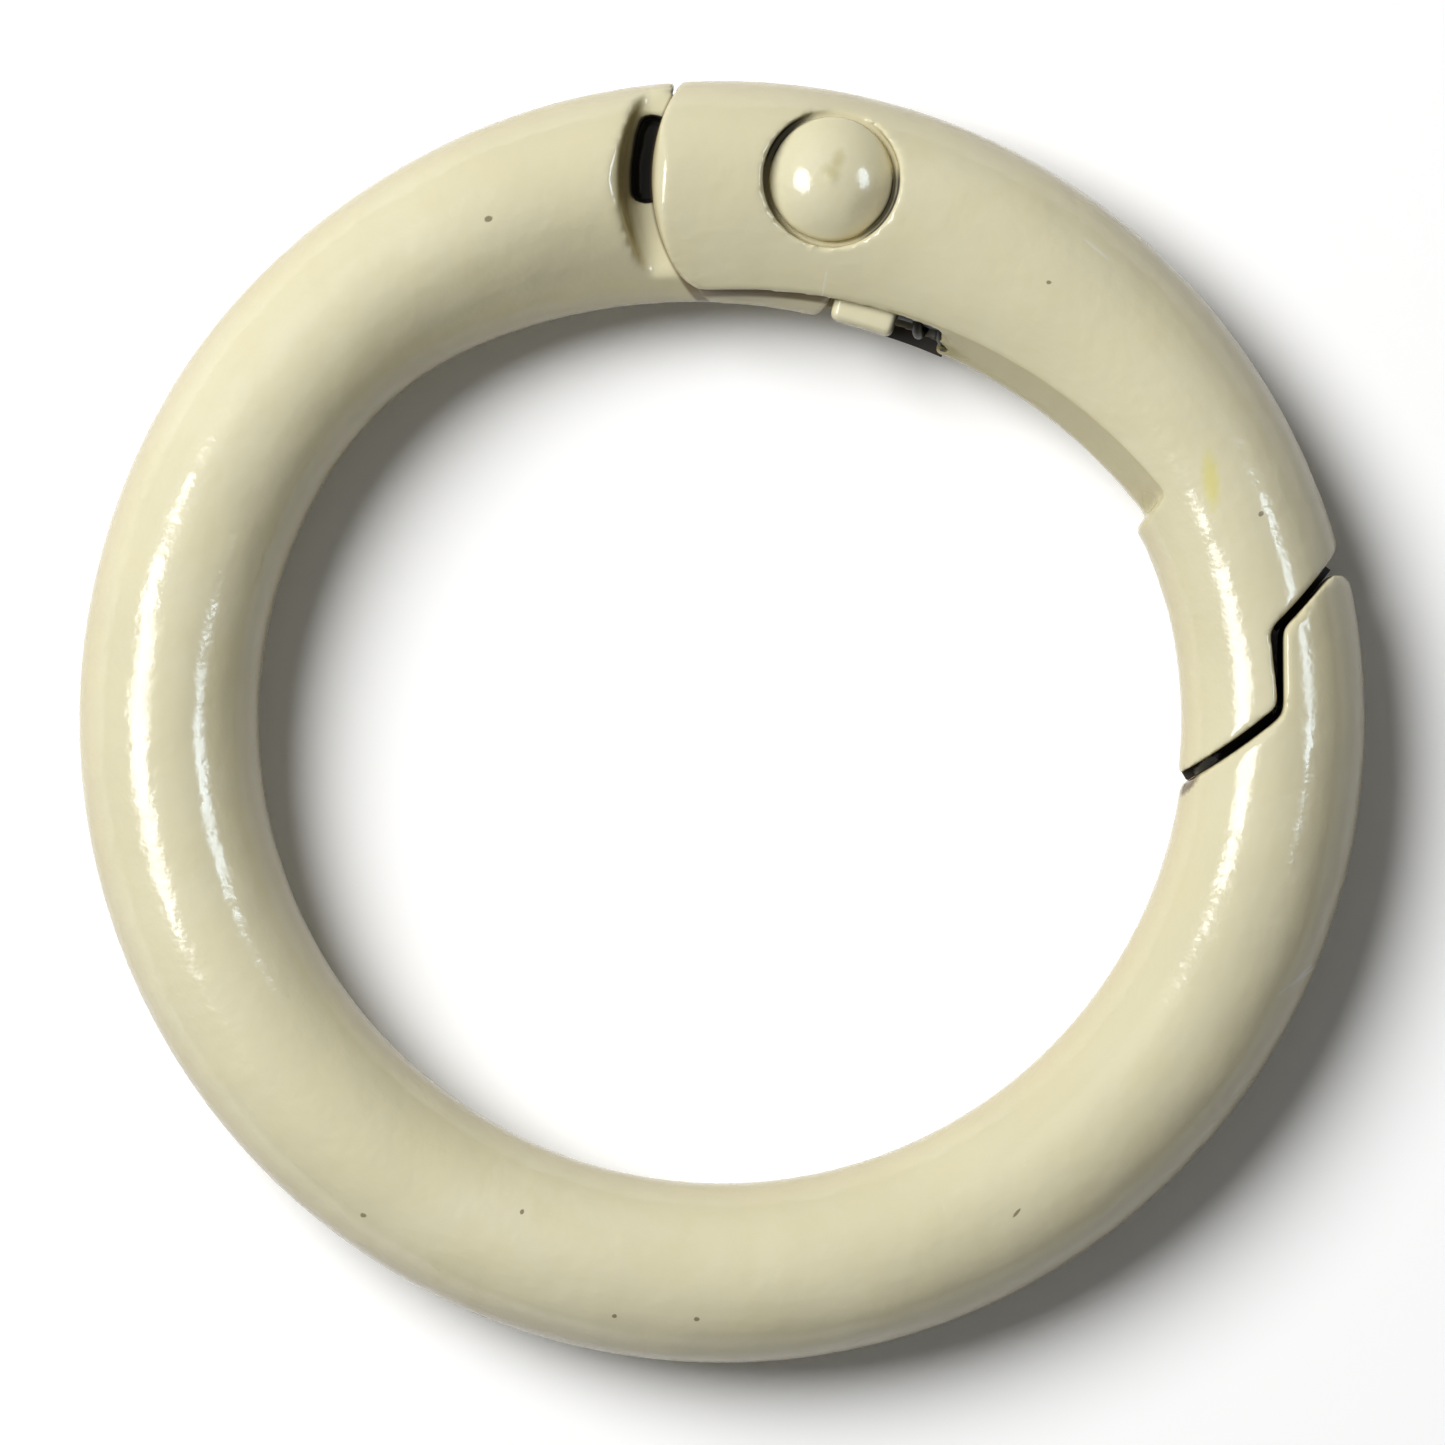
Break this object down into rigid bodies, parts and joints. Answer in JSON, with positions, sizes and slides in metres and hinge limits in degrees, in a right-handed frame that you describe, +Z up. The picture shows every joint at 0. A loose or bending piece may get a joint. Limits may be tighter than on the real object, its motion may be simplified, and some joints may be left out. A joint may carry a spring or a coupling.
{
  "type": "spring key ring",
  "caption": "Round key ring of thick wire-like section with a sprung gate that opens inwards on a rivet, lying flat.",
  "frame": {"origin": "on the ring's axis, on the plane that its underside touches", "axes": "+Z up along the ring's axis, +X and +Y right and up as in the picture; the gate's rivet is near +Y and the nose joint near +X"},
  "size_m": [0.035, 0.0349, 0.0049],
  "materials": {
    "ring_enamel": "gloss cream enamel over die-cast zinc",
    "gate_enamel": "gloss cream enamel over die-cast zinc",
    "pin_enamel": "gloss cream enamel over a steel rivet",
    "plunger_enamel": "cream enamel over metal",
    "spring_steel": "dark oiled spring wire"
  },
  "bodies": {
    "ring": {"ring_body": "ring_enamel", "pivot_pin": "pin_enamel"},
    "gate": {"gate_arm": "gate_enamel", "return_spring": "spring_steel"},
    "plunger_block": {"plunger": "plunger_enamel"}
  },
  "joints": [
    {"name": "gate_hinge", "type": "hinge", "parent": "ring", "child": "gate", "pos_m": [0.00296, 0.01467, 0.00244], "axis": [0, 0, -1], "range_deg": [0, 26], "stiffness_Nm_per_rad": 0.01, "springref_deg": -28.65},
    {"name": "plunger_slide", "type": "slide", "parent": "gate", "child": "plunger_block", "axis": [0.9578, -0.2874, 0], "range_m": [0, 0.00122], "deforming": ["return_spring"]}
  ],
  "couplings": [
    {"joint": "plunger_slide", "follows": "gate_hinge", "m_per_rad": 0.00267}
  ]
}
